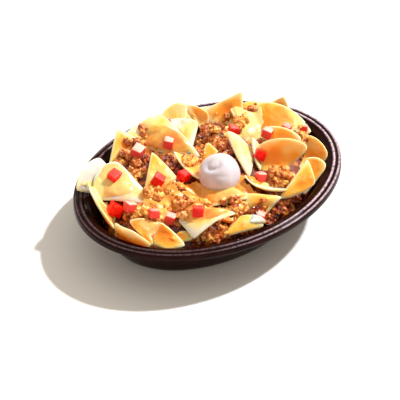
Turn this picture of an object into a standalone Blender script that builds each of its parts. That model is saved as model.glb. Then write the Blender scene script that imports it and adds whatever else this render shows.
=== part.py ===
"""Loaded nachos in an oval take-out bowl.

The frame stands on the bottom of the bowl: the origin is the middle of its flat base, +X runs
along the oval's long axis, +Y across it, and +Z is up. Lengths in the script are metres; the
places of the chips and toppings are listed in millimetres and turned into metres where used.
"""

import math

import bmesh
import bpy
from mathutils import Matrix, Vector, noise
from mathutils.bvhtree import BVHTree

MM = 0.001

# ---------------------------------------------------------------- driving dimensions
BOWL_LENGTH = 0.236
BOWL_WIDTH = 0.181
SHEET = 0.0012          # thickness of the bowl's formed plastic sheet
BASE_RADIUS = 0.050     # flat part of the base, across the short way
GAP = 0.0003            # clearance between two pieces that touch
CHIP_THICKNESS = 0.0023
DIE_SIZE = 0.0080       # edge of a typical tomato die
DIE_SOFTENING = 0.1     # its bevel, against its edge
DIE_RISE = 0.30         # how far its middle stands above the food, against its edge
CREAM_RADIUS = 0.0150
CREAM_HEIGHT = 0.0270
CREAM_RISE = 0.27       # how far its middle stands above the food, against its height
CREAM_DENT = 0.34       # depth of the dimple on top, against half the height
CREAM_SWIRL = 0.07      # height of the swirl's ridge, against half the height
LUMP_UNEVENNESS = 0.25  # of a lump of beef, against its size
MOUND_WAVE = 0.0035     # height of the bumps on the packed food
MOUND_LEVEL = 0.026     # the packed food is lumpy above this height

STRETCH = (BOWL_LENGTH - BOWL_WIDTH) / 2   # how far each half of the turned shape moves apart
BOWL_STEPS = 36
FOOD_STEPS = 30
DOME_FALL = 1.3         # how much faster a chip's middle rises than its sides fall

COLOURS = {
    "bowl": ((0.020, 0.012, 0.014), 0.25),
    "heap": ((0.86, 0.50, 0.16), 0.45),
    "sour_cream": ((0.90, 0.84, 0.84), 0.35),
    "tomato": ((0.72, 0.05, 0.03), 0.25),
}

# Upper surface of the bowl's sheet, from the middle of the base out to the skirt's edge:
# distance from the axis on the short side, and height.
BOWL_LINE = [
    (0.0, 1.2), (50.0, 1.2), (56.5, 2.2), (60.0, 5.2), (62.3, 10.0), (76.2, 38.0),
    (77.6, 40.2), (81.4, 40.7), (83.2, 42.2), (84.3, 43.0), (85.6, 42.5), (86.6, 41.7),
    (87.8, 42.6), (89.2, 42.8), (90.1, 41.2), (90.5, 37.8),
]
# The room that the food may fill: inside the wall, and above the rim.
ROOM_LINE = [
    (0.0, 84.0), (88.5, 84.0), (88.5, 43.8), (77.0, 41.3), (75.3, 38.0), (61.5, 10.2),
    (59.2, 5.8), (56.0, 3.0), (49.9, 1.7), (0.0, 1.7),
]
# The packed food under the chips: its top is highest in the middle and low at the wall.
MOUND_LINE = [
    (0.0, 52.0), (22.0, 51.0), (40.0, 48.0), (54.0, 42.0), (64.0, 34.5), (70.3, 27.5),
    (66.0, 17.0), (61.0, 8.5), (54.0, 3.0), (0.0, 2.4),
]

# Each chip is a wedge from a round tortilla. Its three corners, in mm, are the wedge's tip and
# the two ends of its curved side. "Dome" is how far its middle stands above (or, below zero,
# hangs under) the flat through the corners, and "ripple" is the height of its waves.
CHIPS = {
    "left_outer": ((-58, 26, 36), (-98, 46, 48), (-64, 58, 57), 0, 0),
    "left_curl": ((-62, 12, 40), (-92, 43, 55), (-106, -8, 45), -9, 0),
    "left_cheesy": ((-64, -10, 46), (-91, 31, 44), (-58, 46, 56), 3, 0),
    "back_left": ((-12, 46, 44), (-33, 77, 60), (-58, 57, 38), -3, 0),
    "big_left": ((7, 70, 62), (-20, 71, 55), (2, 12, 51), 6, 0),
    "big_left_low": ((7, 63, 52), (-23, 59, 48), (4, 14, 48), 4, 0),
    "back_pale": ((1, 24, 48), (4, 66, 52), (29, 46, 54), -2, 0),
    "back_folded": ((6, 42, 45), (10, 73, 55), (33, 64, 61), -4, 0),
    "back_lobe": ((30, 38, 45), (30, 68, 59), (42, 48, 55), -4, 0),
    "back_tall": ((75, 43, 67), (43, 62, 50), (58, 26, 42), -2, 0),
    "right_tall": ((99, 19, 62), (84, 36, 44), (84, 0, 40), -2, 0),
    "right_top": ((56, -8, 44), (79, 28, 60), (95, -12, 52), 3, 0),
    "middle_cheesy": ((41, 4, 49), (59, 43, 57), (80, 12, 50), 3, 0),
    "middle_fill": ((42, 4, 46), (66, 26, 50), (78, -2, 50), 2, 0),
    "middle_sliver": ((23, 29, 60), (31, 10, 54), (52, 28, 48), 0, 0),
    "slender_left": ((39, -8, 49), (31, 12, 64), (17, -30, 48), 2, 0),
    "slender_right": ((48, -12, 48), (38, -1, 62), (21, -25, 47), -3, 0),
    "big_right": ((23, -37, 40), (35, -13, 56), (65, -46, 56), -7, 0),
    "dish_floor": ((20, -28, 44), (44, -14, 46), (43, -59, 46), -4, 0),
    "behind_big": ((46, -20, 38), (62, 3, 57), (75, -29, 55), -2, 0),
    "far_right": ((64, -38, 34), (81, -20, 52), (88, -50, 48), -7, 0),
    "right_wall": ((42, -60, 28), (57, -42, 51), (73, -59, 49), -2, 0),
    "right_dish": ((45, -38, 45), (8, -30, 53), (24, -65, 50), -5, 0),
    "right_fold": ((53, -56, 62), (16, -63, 45), (49, -66, 45), 2, 0),
    "middle_ridge": ((0, -52, 47), (-31, -37, 46), (-10, -14, 50), 3, 0),
    "middle_wavy": ((20, -64, 46), (-6, -38, 47), (-4, -64, 36), 2, 1),
    "middle_point": ((-31, 34, 61), (-28, -2, 46), (-60, 10, 45), 2, 0),
    "cream_rest": ((-20, 21, 60), (-19, -26, 52), (10, 2, 48), -4, 0),
    "cream_back": ((9, 12, 63), (-6, 8, 52), (18, -8, 46), 1, 0),
    "sauced_point": ((-36, 4, 55), (-58, -12, 44), (-27, -28, 45), 1, 0),
    "front_flat": ((-65, -56, 44), (-61, -32, 47), (-25, -61, 51), 2, 0),
    "front_curl": ((-60, -16, 28), (-100, -3, 50), (-93, -41, 43), -5, 0),
    "front_shaded": ((-92, -38, 38), (-86, -2, 48), (-70, -27, 49), -2, 0),
    "front_saddle": ((-74, -27, 52), (-66, -57, 43), (-92, -38, 40), 5, 0),
    "front_right": ((-27, -48, 41), (-50, -66, 42), (-11, -77, 44), 2, 0),
    "back_small": ((60, 22, 42), (70, 45, 52), (87, 30, 54), 1, 0),
    "back_low": ((52, 40, 34), (28, 76, 46), (64, 58, 47), -3, 0),
    "back_wall": ((-10, 52, 34), (-22, 79, 47), (14, 82, 45), -3, 0),
    "end_low": ((70, 14, 32), (99, 24, 44), (100, -14, 42), -4, 0),
}

# Lumps of ground beef that stand out of the packed food: middle, reach to the sides and reach up.
MEAT = [
    (31, 27, 51, 15, 8), (-37, 47, 45, 14, 8), (-25, 23, 49, 14, 8), (33, -48, 46, 13, 8),
    (-4, -60, 39, 14, 8), (17, -65, 36, 11, 8), (-51, -53, 38, 12, 8), (-44, -32, 45, 13, 8),
    (-72, -1, 42, 14, 8), (88, -14, 38, 12, 9), (18, 5, 53, 14, 8), (60, -4, 46, 16, 9),
    (-68, 25, 49, 16, 8), (-8, 40, 48, 16, 8), (60, 30, 46, 14, 8),
    (55, 14, 53, 13, 8),
]

# Tomato dice: place in the plan (mm), size against a typical die, and turn about the vertical,
# lean about X and lean about Y (degrees).
DICE = [
    (-72, 30, 1.05, 12, 12, -8), (-45, 9, 1.10, 35, 30, 10), (-86, 12, 1.25, 55, 35, 20),
    (-35, 46, 1.10, 22, 10, -6), (-11, 37, 0.95, 40, 8, 5), (6, 61, 0.85, 15, -18, 10),
    (-50, -44, 1.15, 3, 25, 3), (-63, -27, 0.95, 30, 10, 10), (43, 19, 0.95, 60, 12, 8),
    (59, -4, 1.00, 25, 10, 12), (36, -20, 1.00, 50, 30, 22), (76, -8, 0.85, 20, 15, 8),
    (93, -11, 0.75, 48, 5, 15), (21, -37, 0.90, 70, 12, 18), (-28, -1, 1.00, 10, 12, 12),
    (-8, -69, 0.80, 35, 10, 5), (-81, 0, 1.00, 80, 22, 12), (-73, -19, 0.90, 65, 8, 24),
]
CREAM_PLACE = (-7, -20)


# ---------------------------------------------------------------- helpers
def clear_scene():
    for old in list(bpy.data.objects):
        bpy.data.objects.remove(old)


def make_collection(name):
    collection = bpy.data.collections.new(name)
    bpy.context.scene.collection.children.link(collection)
    return collection


def make_material(name):
    colour, roughness = COLOURS[name]
    material = bpy.data.materials.new(name)
    material.use_nodes = True
    shader = material.node_tree.nodes["Principled BSDF"]
    shader.inputs["Base Color"].default_value = (*colour, 1.0)
    shader.inputs["Roughness"].default_value = roughness
    shader.inputs["Metallic"].default_value = 0.0
    return material


def add_object(name, mesh, collection, material=None):
    thing = bpy.data.objects.new(name, mesh)
    collection.objects.link(thing)
    if material:
        mesh.materials.append(material)
    return thing


def hide(thing):
    """Keeps a helper out of the finished object."""
    thing.hide_render = True
    thing.display_type = "WIRE"


def shape_now(thing):
    """The thing's mesh with its modifiers worked out."""
    bpy.context.view_layer.update()
    graph = bpy.context.evaluated_depsgraph_get()
    return bpy.data.meshes.new_from_object(thing.evaluated_get(graph))


def spread_oval(mesh):
    """Turns a round turned shape into the bowl's oval, with the rim equally wide all round."""
    for vertex in mesh.vertices:
        radius = math.hypot(vertex.co.x, vertex.co.y)
        vertex.co.x *= 1 + STRETCH / max(radius, BASE_RADIUS)


def turned(name, line, steps, collection):
    """A shape turned about Z from (radius, height) points in mm, then spread to the oval."""
    mesh = bpy.data.meshes.new(name + "_line")
    points = [(radius * MM, 0, height * MM) for radius, height in line]
    mesh.from_pydata(points, [(i, i + 1) for i in range(len(points) - 1)], [])
    profile = bpy.data.objects.new(name + "_line", mesh)
    collection.objects.link(profile)
    screw = profile.modifiers.new("Turn", "SCREW")
    screw.steps = steps
    screw.render_steps = steps
    screw.use_merge_vertices = True
    screw.merge_threshold = 0.00002
    turned_mesh = shape_now(profile)
    turned_mesh.name = name
    bpy.data.objects.remove(profile)
    spread_oval(turned_mesh)
    return turned_mesh


# ---------------------------------------------------------------- the bowl
def make_bowl(collection):
    sheet = turned("bowl", BOWL_LINE, BOWL_STEPS, collection)
    bowl = add_object("bowl", sheet, collection, make_material("bowl"))
    face_up = bmesh.new()
    face_up.from_mesh(bowl.data)
    bmesh.ops.recalc_face_normals(face_up, faces=face_up.faces[:])
    middle = min(face_up.faces, key=lambda face: face.calc_center_median().xy.length)
    if middle.normal.z < 0:
        bmesh.ops.reverse_faces(face_up, faces=face_up.faces[:])
    face_up.to_mesh(bowl.data)
    face_up.free()
    wall = bowl.modifiers.new("Sheet", "SOLIDIFY")
    wall.thickness = SHEET
    wall.offset = -1
    bowl.data.shade_smooth()
    return bowl


# ---------------------------------------------------------------- the chips
def wedge_reach(angle, roundness=8.0):
    """How far a wedge with rounded corners reaches from its middle, for a tip at distance 1."""
    arc = math.cos(angle) + math.sqrt(math.cos(angle) ** 2 + 2)
    edges = [1 / arc]
    for corner in (math.tau / 3, 2 * math.tau / 3):
        edges.append(max(0.0, -2 * math.cos(angle - corner)))
    return sum(edge**roundness for edge in edges) ** (-1 / roundness)


def make_chip(name, corners, dome, ripple, collection):
    """A curved wedge: a flattened ball whose outline is a wedge laid through three corners."""
    tip, left, right = (Vector(corner) * MM for corner in corners)
    up = (left - tip).cross(right - tip).normalized()
    if up.z < 0:
        up.negate()
    shape = bmesh.new()
    bmesh.ops.create_uvsphere(shape, u_segments=12, v_segments=4, radius=1)
    for vertex in shape.verts:
        flat = vertex.co.xy.length
        angle = math.atan2(vertex.co.y, vertex.co.x)
        reach = flat * wedge_reach(angle)
        across, along = reach * math.sin(angle), reach * math.cos(angle)
        weights = [(1 + 2 * (along * math.cos(turn) + across * math.sin(turn))) / 3
                   for turn in (0, math.tau / 3, 2 * math.tau / 3)]
        place = tip * weights[0] + left * weights[1] + right * weights[2]
        bend = (dome * (1 - DOME_FALL * reach**2) + ripple * math.cos(math.tau * across)) * MM
        side = math.copysign(math.sqrt(1 - flat**4), vertex.co.z) if flat < 0.999 else 0
        vertex.co = place + up * (bend + side * CHIP_THICKNESS / 2)
    if shape.calc_volume(signed=True) < 0:
        bmesh.ops.reverse_faces(shape, faces=shape.faces[:])
    mesh = bpy.data.meshes.new(name)
    shape.to_mesh(mesh)
    shape.free()
    return add_object(name, mesh, collection)


# ---------------------------------------------------------------- toppings
def make_die(name, place, size, turns, collection, material):
    """One die of tomato with softened edges, resting in the food at the given middle."""
    shape = bmesh.new()
    edge = DIE_SIZE * size
    bmesh.ops.create_cube(shape, size=1)
    bmesh.ops.scale(shape, vec=(edge * 1.08, edge, edge * 0.9), verts=shape.verts[:])
    bmesh.ops.bevel(shape, geom=shape.edges[:], offset=edge * DIE_SOFTENING, affect="EDGES",
                    segments=1, profile=0.5, material=-1)
    mesh = bpy.data.meshes.new(name)
    shape.to_mesh(mesh)
    shape.free()
    die = add_object(name, mesh, collection, material)
    turn, lean_x, lean_y = (math.radians(value) for value in turns)
    die.matrix_world = (Matrix.Translation(place) @ Matrix.Rotation(turn, 4, "Z")
                        @ Matrix.Rotation(lean_x, 4, "X") @ Matrix.Rotation(lean_y, 4, "Y"))
    return die


def make_cream(place, collection, material):
    """A dollop: a ball drawn up and dented on top, with one turn of a soft swirl."""
    shape = bmesh.new()
    bmesh.ops.create_uvsphere(shape, u_segments=16, v_segments=9, radius=1)
    for vertex in shape.verts:
        flat = vertex.co.xy.length
        angle = math.atan2(vertex.co.y, vertex.co.x)
        height = vertex.co.z
        top = height > 0
        dent = CREAM_DENT * math.exp(-((flat - 0.1) / 0.28) ** 2) * top
        swirl = CREAM_SWIRL * math.cos(angle - 5 * flat) * math.exp(-((flat - 0.5) / 0.25) ** 2) * top
        sag = 1 if top else 1.12 - 0.12 * height**2
        vertex.co.x *= CREAM_RADIUS * sag
        vertex.co.y *= CREAM_RADIUS * sag
        vertex.co.z = CREAM_HEIGHT / 2 * (height - dent + swirl)
    mesh = bpy.data.meshes.new("sour_cream")
    shape.to_mesh(mesh)
    shape.free()
    cream = add_object("sour_cream", mesh, collection, material)
    cream.location = place
    return cream


def make_seat(thing, collection):
    """The hull of a topping, larger by the gap on every side, to cut its seat in the food."""
    shape = bmesh.new()
    corners = [Vector(corner) for corner in thing.bound_box]
    if thing.name.startswith("tomato"):
        low, high = corners[0], corners[6]
        bmesh.ops.create_cube(shape, size=1)
        room = high - low + Vector((GAP, GAP, GAP)) * 2
        bmesh.ops.scale(shape, vec=room, verts=shape.verts[:])
    else:
        shape.from_mesh(thing.data)
        shape.normal_update()
        for vertex, out in [(vertex, vertex.normal.copy()) for vertex in shape.verts]:
            vertex.co += out * GAP
    mesh = bpy.data.meshes.new(thing.name + "_seat")
    shape.to_mesh(mesh)
    shape.free()
    seat = add_object(thing.name + "_seat", mesh, collection)
    seat.matrix_world = thing.matrix_world.copy()
    hide(seat)
    return seat


# ---------------------------------------------------------------- the heap
def make_mound(collection):
    """The packed food in the bowl, with a lumpy top."""
    mesh = turned("mound", MOUND_LINE, FOOD_STEPS, collection)
    bumps_per_metre = 55
    for vertex in mesh.vertices:
        if vertex.co.z > MOUND_LEVEL:
            vertex.co.z += noise.noise(vertex.co * bumps_per_metre) * MOUND_WAVE
    return add_object("mound", mesh, collection)


def make_lump(name, place, reach, rise, collection):
    """One rough lump of ground beef."""
    shape = bmesh.new()
    bmesh.ops.create_uvsphere(shape, u_segments=9, v_segments=4, radius=1)
    for vertex in shape.verts:
        vertex.co *= 1 + LUMP_UNEVENNESS * noise.noise(vertex.co * 1.8 + Vector(place))
    bmesh.ops.scale(shape, vec=(reach * MM, reach * MM, rise * MM), verts=shape.verts[:])
    bmesh.ops.translate(shape, vec=Vector(place) * MM, verts=shape.verts[:])
    mesh = bpy.data.meshes.new(name)
    shape.to_mesh(mesh)
    shape.free()
    return add_object(name, mesh, collection)


def combine(thing, operation, other):
    """Joins, cuts or limits a thing by another object or by a collection of them."""
    boolean = thing.modifiers.new(operation.title(), "BOOLEAN")
    boolean.operation = operation
    boolean.solver = "MANIFOLD"
    if isinstance(other, bpy.types.Collection):
        boolean.operand_type = "COLLECTION"
        boolean.collection = other
    else:
        boolean.object = other


def outward(mesh):
    shape = bmesh.new()
    shape.from_mesh(mesh)
    if shape.calc_volume(signed=True) < 0:
        bmesh.ops.reverse_faces(shape, faces=shape.faces[:])
    shape.to_mesh(mesh)
    shape.free()


def largest_body(mesh):
    """Drops the crumbs that the cuts leave loose, and keeps the largest connected body."""
    shape = bmesh.new()
    shape.from_mesh(mesh)
    waiting = set(shape.verts)
    bodies = []
    while waiting:
        edge_of_body = [waiting.pop()]
        body = set(edge_of_body)
        while edge_of_body:
            vertex = edge_of_body.pop()
            near = {edge.other_vert(vertex) for edge in vertex.link_edges} & waiting
            waiting -= near
            body |= near
            edge_of_body.extend(near)
        bodies.append(body)
    bodies.sort(key=len)
    loose = [vertex for body in bodies[:-1] for vertex in body]
    bmesh.ops.delete(shape, geom=loose, context="VERTS")
    for face in shape.faces:
        face.material_index = 0
    shape.to_mesh(mesh)
    shape.free()


def surface_height(tree, x, y):
    """How high the food is at a place in the plan."""
    hit = tree.ray_cast(Vector((x, y, 0.12)), Vector((0, 0, -1)))[0]
    return hit.z


def main():
    clear_scene()
    food = make_collection("nachos")
    cutters = make_collection("cutters")
    wedges = make_collection("wedges")
    make_bowl(food)

    room = add_object("room", turned("room", ROOM_LINE, BOWL_STEPS, cutters), cutters)
    outward(room.data)
    hide(room)
    mound = make_mound(cutters)
    outward(mound.data)
    hide(mound)
    for name, (tip, left, right, dome, ripple) in CHIPS.items():
        chip = make_chip(name, (tip, left, right), dome, ripple, wedges)
        hide(chip)
        combine(mound, "UNION", chip)
    for number, (x, y, z, reach, rise) in enumerate(MEAT, start=1):
        lump = make_lump(f"lump_{number:02d}", (x, y, z), reach, rise, wedges)
        hide(lump)
        combine(mound, "UNION", lump)
    combine(mound, "INTERSECT", room)
    heap_material = make_material("heap")
    heap = add_object("heap", shape_now(mound), food, heap_material)
    largest_body(heap.data)
    heap_tree = BVHTree.FromObject(heap, bpy.context.evaluated_depsgraph_get())

    tomato = make_material("tomato")
    toppings = []
    for number, (x, y, size, *turns) in enumerate(DICE, start=1):
        height = surface_height(heap_tree, x * MM, y * MM) + DIE_SIZE * size * DIE_RISE
        toppings.append(make_die(f"tomato_{number:02d}", (x * MM, y * MM, height), size, turns,
                                 food, tomato))
    x, y = (value * MM for value in CREAM_PLACE)
    height = surface_height(heap_tree, x, y) + CREAM_HEIGHT * CREAM_RISE
    toppings.append(make_cream((x, y, height), food, make_material("sour_cream")))
    bpy.context.view_layer.update()
    for topping in toppings:
        combine(heap, "DIFFERENCE", make_seat(topping, cutters))
    finished = shape_now(heap)
    heap.modifiers.clear()
    heap.data = finished
    heap.data.materials.clear()
    heap.data.materials.append(heap_material)
    largest_body(heap.data)


main()
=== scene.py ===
# %% [markdown]
# # Loaded nachos in a take-out bowl
#
# A dark oval bowl is heaped with tortilla chips, crumbled beef, warm cheese sauce, diced tomato and a
# ball of sour cream. The imported model gives the places and sizes. This lesson makes the surfaces that
# are seen: thin curved chips, thousands of small crumbs, and a sauce that runs over both.
#
# The first cell loads the imported model and keeps its parts, whose boxes give the places and sizes of the
# dice and the cream.

# %% Load the frame
import math
import random

import bmesh
import bpy
from mathutils import Matrix, Vector, noise
from mathutils.bvhtree import BVHTree


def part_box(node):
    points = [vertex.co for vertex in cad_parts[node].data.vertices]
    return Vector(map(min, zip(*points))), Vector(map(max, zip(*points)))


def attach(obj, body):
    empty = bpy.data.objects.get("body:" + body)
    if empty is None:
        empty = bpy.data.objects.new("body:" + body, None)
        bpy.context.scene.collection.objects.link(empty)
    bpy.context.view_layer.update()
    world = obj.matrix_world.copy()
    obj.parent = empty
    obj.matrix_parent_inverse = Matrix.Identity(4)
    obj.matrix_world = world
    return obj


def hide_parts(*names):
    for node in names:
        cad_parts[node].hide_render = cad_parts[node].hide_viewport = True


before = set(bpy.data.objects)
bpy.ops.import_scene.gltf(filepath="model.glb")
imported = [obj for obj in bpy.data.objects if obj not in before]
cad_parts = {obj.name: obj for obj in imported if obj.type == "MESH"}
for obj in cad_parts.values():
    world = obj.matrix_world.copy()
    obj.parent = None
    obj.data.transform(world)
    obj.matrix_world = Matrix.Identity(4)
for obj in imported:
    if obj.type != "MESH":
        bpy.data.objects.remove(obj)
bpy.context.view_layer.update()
print("packed nodes:", len(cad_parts))

# %% [markdown]
# ## The camera
# The view looks down at 38 degrees, from 41 degrees round the bowl's short side. A long lens from well
# over a metre away keeps the oval's near and far rims almost the same width. A camera could be aimed by
# a constraint, but its matrix says the same in one place: a camera looks along its own minus Z, so the
# columns are the view's right, its up, the reverse of the way ahead, and the camera's place.

# %% Camera
MM = 0.001
VIEW_DOWN = math.radians(38)
VIEW_ROUND = math.radians(41)
VIEW_DISTANCE = 1.320
VIEW_STEP_RIGHT = -0.0074       # how far the camera stands off a line through the rim's middle
VIEW_STEP_UP = -0.0215
RIM_HEIGHT = 0.043
LENS = 149.4                    # focal length in mm


def place_camera():
    """Makes the scene's camera and returns its place."""
    level = math.cos(VIEW_DOWN)
    ahead = Vector((math.sin(VIEW_ROUND) * level, math.cos(VIEW_ROUND) * level, -math.sin(VIEW_DOWN)))
    right = Vector((math.cos(VIEW_ROUND), -math.sin(VIEW_ROUND), 0))
    up = right.cross(ahead)
    rim_middle = Vector((0, 0, RIM_HEIGHT))
    place = rim_middle - ahead * VIEW_DISTANCE + right * VIEW_STEP_RIGHT + up * VIEW_STEP_UP
    camera = bpy.data.objects.new("camera", bpy.data.cameras.new("camera"))
    bpy.context.scene.collection.objects.link(camera)
    camera.matrix_world = Matrix((
        (right.x, up.x, -ahead.x, place.x),
        (right.y, up.y, -ahead.y, place.y),
        (right.z, up.z, -ahead.z, place.z),
        (0, 0, 0, 1)))
    camera.data.lens = LENS
    bpy.context.scene.camera = camera
    return place


print("camera at", [round(value, 3) for value in place_camera()])

# %% [markdown]
# ## Light and floor
# One strong light stands high to the right and a little behind the bowl. It is a sun lamp with a small
# angle, so that the chips throw clear shadows on each other and the sauce gets small bright highlights.
# A second, weak lamp stands low behind the bowl like a window. It only adds gloss, because it is hidden
# from diffuse light. An area lamp would do the same, but would have to be placed and sized as well. A
# pale warm sky fills the shadows, and the floor is one plain pale sheet.

# %% Light and floor
SUN_FROM = Vector((0.586, -0.137, 0.799))
SUN_ENERGY = 4.9
SUN_ANGLE = math.radians(4)
SKY_COLOUR = (1.0, 0.90, 0.76, 1.0)
SKY_STRENGTH = 0.78
WINDOW_FROM = Vector((0.785, 0.453, 0.423))
WINDOW_ENERGY = 0.5
WINDOW_ANGLE = math.radians(16)
WINDOW_COLOUR = (1.0, 0.93, 0.9)
FLOOR_COLOUR = (0.84, 0.83, 0.84, 1)
FLOOR_HALF = 1.5                # half the floor's side, in metres


def add_lamp(name, shines_from, energy, angle):
    lamp = bpy.data.objects.new(name, bpy.data.lights.new(name, "SUN"))
    bpy.context.scene.collection.objects.link(lamp)
    lamp.data.energy = energy
    lamp.data.angle = angle
    lamp.rotation_euler = shines_from.to_track_quat("Z", "Y").to_euler()
    return lamp


def make_light():
    add_lamp("sun", SUN_FROM, SUN_ENERGY, SUN_ANGLE)
    window = add_lamp("window", WINDOW_FROM, WINDOW_ENERGY, WINDOW_ANGLE)
    window.data.color = WINDOW_COLOUR
    window.visible_diffuse = False
    world = bpy.data.worlds.new("sky")
    world.use_nodes = True
    sky = world.node_tree.nodes["Background"]
    sky.inputs["Color"].default_value = SKY_COLOUR
    sky.inputs["Strength"].default_value = SKY_STRENGTH
    bpy.context.scene.world = world
    bpy.context.scene.view_settings.view_transform = "Standard"


def make_floor():
    shape = bmesh.new()
    bmesh.ops.create_grid(shape, x_segments=1, y_segments=1, size=FLOOR_HALF)
    mesh = bpy.data.meshes.new("floor")
    shape.to_mesh(mesh)
    shape.free()
    floor = bpy.data.objects.new("floor", mesh)
    bpy.context.scene.collection.objects.link(floor)
    paint = bpy.data.materials.new("floor")
    paint.use_nodes = True
    shader = paint.node_tree.nodes["Principled BSDF"]
    shader.inputs["Base Color"].default_value = FLOOR_COLOUR
    shader.inputs["Roughness"].default_value = 0.7
    mesh.materials.append(paint)


make_light()
make_floor()
print("lamps:", len(bpy.data.lights))

# %% [markdown]
# ## Helpers for materials
# A material here is a Principled shader fed by a few small nodes: noise that breaks up the colour, a
# ramp that turns the noise into colours, and a bump for the fine relief. `Paint` keeps the node tree
# and adds nodes to it in one line each, which reads more easily than a long list of nodes and links.
# All patterns sit on Object coordinates, so they stay on the piece. Colours are written as they look on
# a screen, and `tone` turns them into the linear values that the shader needs.

# %% Material helper
def tone(red, green, blue):
    """A screen colour, 0 to 255, as the linear colour of a shader socket."""
    values = []
    for value in (red, green, blue):
        part = value / 255
        values.append(part / 12.92 if part <= 0.04045 else ((part + 0.055) / 1.055) ** 2.4)
    return (*values, 1.0)


class Paint:
    """A material under construction: nodes are added by kind, with their sockets filled in."""

    def __init__(self, name, **sockets):
        self.material = bpy.data.materials.new(name)
        self.material.use_nodes = True
        self.tree = self.material.node_tree
        self.shader = self.tree.nodes["Principled BSDF"]
        for socket, value in sockets.items():
            self.shader.inputs[socket.replace("_", " ")].default_value = value
        self.place = self.tree.nodes.new("ShaderNodeTexCoord").outputs["Object"]

    def fill(self, node, values):
        """Links or sets each socket of a node, by the kind of its value."""
        for socket, value in values.items():
            if isinstance(value, bpy.types.NodeSocket):
                self.tree.links.new(value, node.inputs[socket])
            else:
                node.inputs[socket].default_value = value

    def noise(self, size, detail, roughness=0.55):
        """Soft noise whose blotches are about as wide as size, in mm."""
        node = self.tree.nodes.new("ShaderNodeTexNoise")
        self.fill(node, {"Vector": self.place, "Scale": 1 / (size * MM), "Detail": detail,
                         "Roughness": roughness})
        return node.outputs["Fac"]

    def cells(self, size):
        """Round cells about as wide as size, in mm: the distance from the nearest cell's middle."""
        node = self.tree.nodes.new("ShaderNodeTexVoronoi")
        self.fill(node, {"Vector": self.place, "Scale": 1 / (size * MM)})
        return node.outputs["Distance"]

    def ramp(self, factor, *stops):
        """Colours along a factor; each stop is (position, colour)."""
        node = self.tree.nodes.new("ShaderNodeValToRGB")
        self.tree.links.new(factor, node.inputs["Fac"])
        elements = node.color_ramp.elements
        for _ in stops[2:]:
            elements.new(0.5)
        for element, (position, colour) in zip(elements, stops):
            element.position = position
            element.color = colour
        return node.outputs["Color"]

    def level(self, factor, low, high, start=0.0, end=1.0):
        """Maps a factor from start..end to low..high, clamped."""
        node = self.tree.nodes.new("ShaderNodeMapRange")
        self.fill(node, {"Value": factor, "From Min": start, "From Max": end,
                         "To Min": low, "To Max": high})
        return node.outputs["Result"]

    def mix(self, factor, first, second):
        """The first colour where the factor is 0, the second where it is 1."""
        node = self.tree.nodes.new("ShaderNodeMix")
        node.data_type = "RGBA"
        self.fill(node, {0: factor, 6: first, 7: second})       # 6 and 7 are the node's colours
        return node.outputs[2]

    def attribute(self, name):
        """A number that each point of the mesh carries."""
        node = self.tree.nodes.new("ShaderNodeAttribute")
        node.attribute_name = name
        return node.outputs["Fac"]

    def sum(self, first, second, operation="ADD"):
        """Two numbers added, or joined by another operation of the Math node."""
        node = self.tree.nodes.new("ShaderNodeMath")
        node.operation = operation
        self.fill(node, {0: first, 1: second})
        return node.outputs[0]

    def product(self, first, second):
        return self.sum(first, second, "MULTIPLY")

    def colour(self, source):
        self.tree.links.new(source, self.shader.inputs["Base Color"])

    def roughness(self, source):
        self.tree.links.new(source, self.shader.inputs["Roughness"])

    def bump(self, height, depth):
        """Relief that goes up to depth, in mm, where height goes from 0 to 1."""
        node = self.tree.nodes.new("ShaderNodeBump")
        self.fill(node, {"Height": height, "Distance": depth * MM, "Strength": 1.0})
        self.tree.links.new(node.outputs["Normal"], self.shader.inputs["Normal"])


# %% [markdown]
# ## Helper for pieces
# Each piece ends the same way: its bmesh becomes a mesh, smooth shaded, with its material, the object is
# told which body it rides on, and the imported nodes that it stands for are hidden. One function does this
# for all of them, so that none of it is forgotten.

# %% Piece helper
def add_piece(name, shape, material, slot, *nodes, smooth=True):
    """Makes an object of a finished bmesh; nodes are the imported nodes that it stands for."""
    mesh = bpy.data.meshes.new(name)
    shape.to_mesh(mesh)
    shape.free()
    mesh.materials.append(material)
    if smooth:
        mesh.shade_smooth()
    piece = bpy.data.objects.new(name, mesh)
    bpy.context.scene.collection.objects.link(piece)
    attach(piece, "root")
    if nodes:
        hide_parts(*nodes)
    print(name, len(mesh.polygons), "faces")
    return piece


def face_outwards(shape):
    """Turns a closed shape right side out, judged by its volume."""
    if shape.calc_volume(signed=True) < 0:
        bmesh.ops.reverse_faces(shape, faces=shape.faces[:])


# %% [markdown]
# ## The bowl
# The real bowl is one sheet of dark plastic, drawn over a mould: a flat base, a sloping wall, a ledge,
# and a rim with two round beads and a groove between them. Such a shape is a section turned about the
# vertical. `spin` makes the round bowl, and then every point moves outwards along X by an amount that
# depends on its direction and not on its distance from the middle. That makes the oval and keeps the
# rim as wide at the ends as at the sides, where a plain scale would widen it at the ends. Solidify
# gives the sheet its thickness.

# %% Bowl shape
STRETCH = 27.5 * MM             # how far each half of the round bowl moves outwards along X
BASE_RADIUS = 50 * MM           # inside this radius the shape is only scaled along X
SHEET = 1.2 * MM
MERGE_DISTANCE = 0.01 * MM
BOWL_STEPS = 128
BOWL_LINE = [                   # upper side of the sheet: distance from the axis and height, in mm
    (0.0, 1.2), (25.0, 1.2), (49.0, 1.2), (54.0, 1.5), (57.5, 2.8), (60.0, 5.2), (61.6, 8.0),
    (63.3, 12.0), (68.2, 22.0), (73.2, 32.0), (76.0, 37.6), (76.7, 39.0), (77.6, 40.1), (79.0, 40.5),
    (81.2, 40.7), (82.2, 41.2), (83.0, 42.2), (84.0, 43.0), (85.0, 42.8), (85.8, 41.9), (86.5, 41.4),
    (87.2, 41.9), (87.9, 42.7), (88.9, 42.9), (89.7, 42.3), (90.2, 41.0), (90.4, 39.4), (90.5, 37.8),
]


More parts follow.
